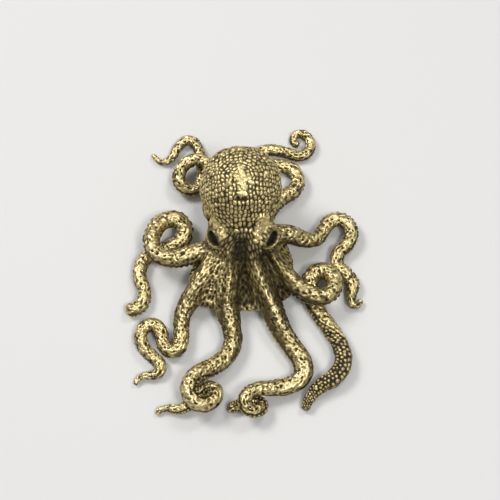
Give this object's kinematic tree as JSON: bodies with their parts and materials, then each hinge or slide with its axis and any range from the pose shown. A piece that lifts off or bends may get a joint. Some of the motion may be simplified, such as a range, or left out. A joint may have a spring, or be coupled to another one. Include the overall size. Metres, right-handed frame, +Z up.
{
  "type": "octopus figurine",
  "caption": "Antique brass octopus figurine: a pebbled round mantle leaning back, hollow dark eyes, a webbed crown and long arms that curl and cross on the ground.",
  "frame": {"origin": "middle of the flat foot under the crown, on the surface that the figurine stands on", "axes": "+Z up; the eyes face -Y and the mantle leans back towards +Y; +X is on the viewer's right when the face is seen from the front"},
  "size_m": [0.0493, 0.0662, 0.0224],
  "materials": {
    "antique_brass": "cast brass, dark patina in the hollows, polished on the high spots",
    "eye_black": "black enamel"
  },
  "bodies": {
    "root": {"mantle": "antique_brass", "arm_crown": "antique_brass", "arm_mid_left": "antique_brass", "arm_front_left": "antique_brass", "arm_center_left": "antique_brass", "arm_center_right": "antique_brass", "arm_front_right": "antique_brass", "arm_mid_right": "antique_brass", "arm_rear_right": "antique_brass", "arm_rear_left": "antique_brass", "eye_inlay_left": "eye_black", "eye_inlay_right": "eye_black"}
  },
  "joints": []
}
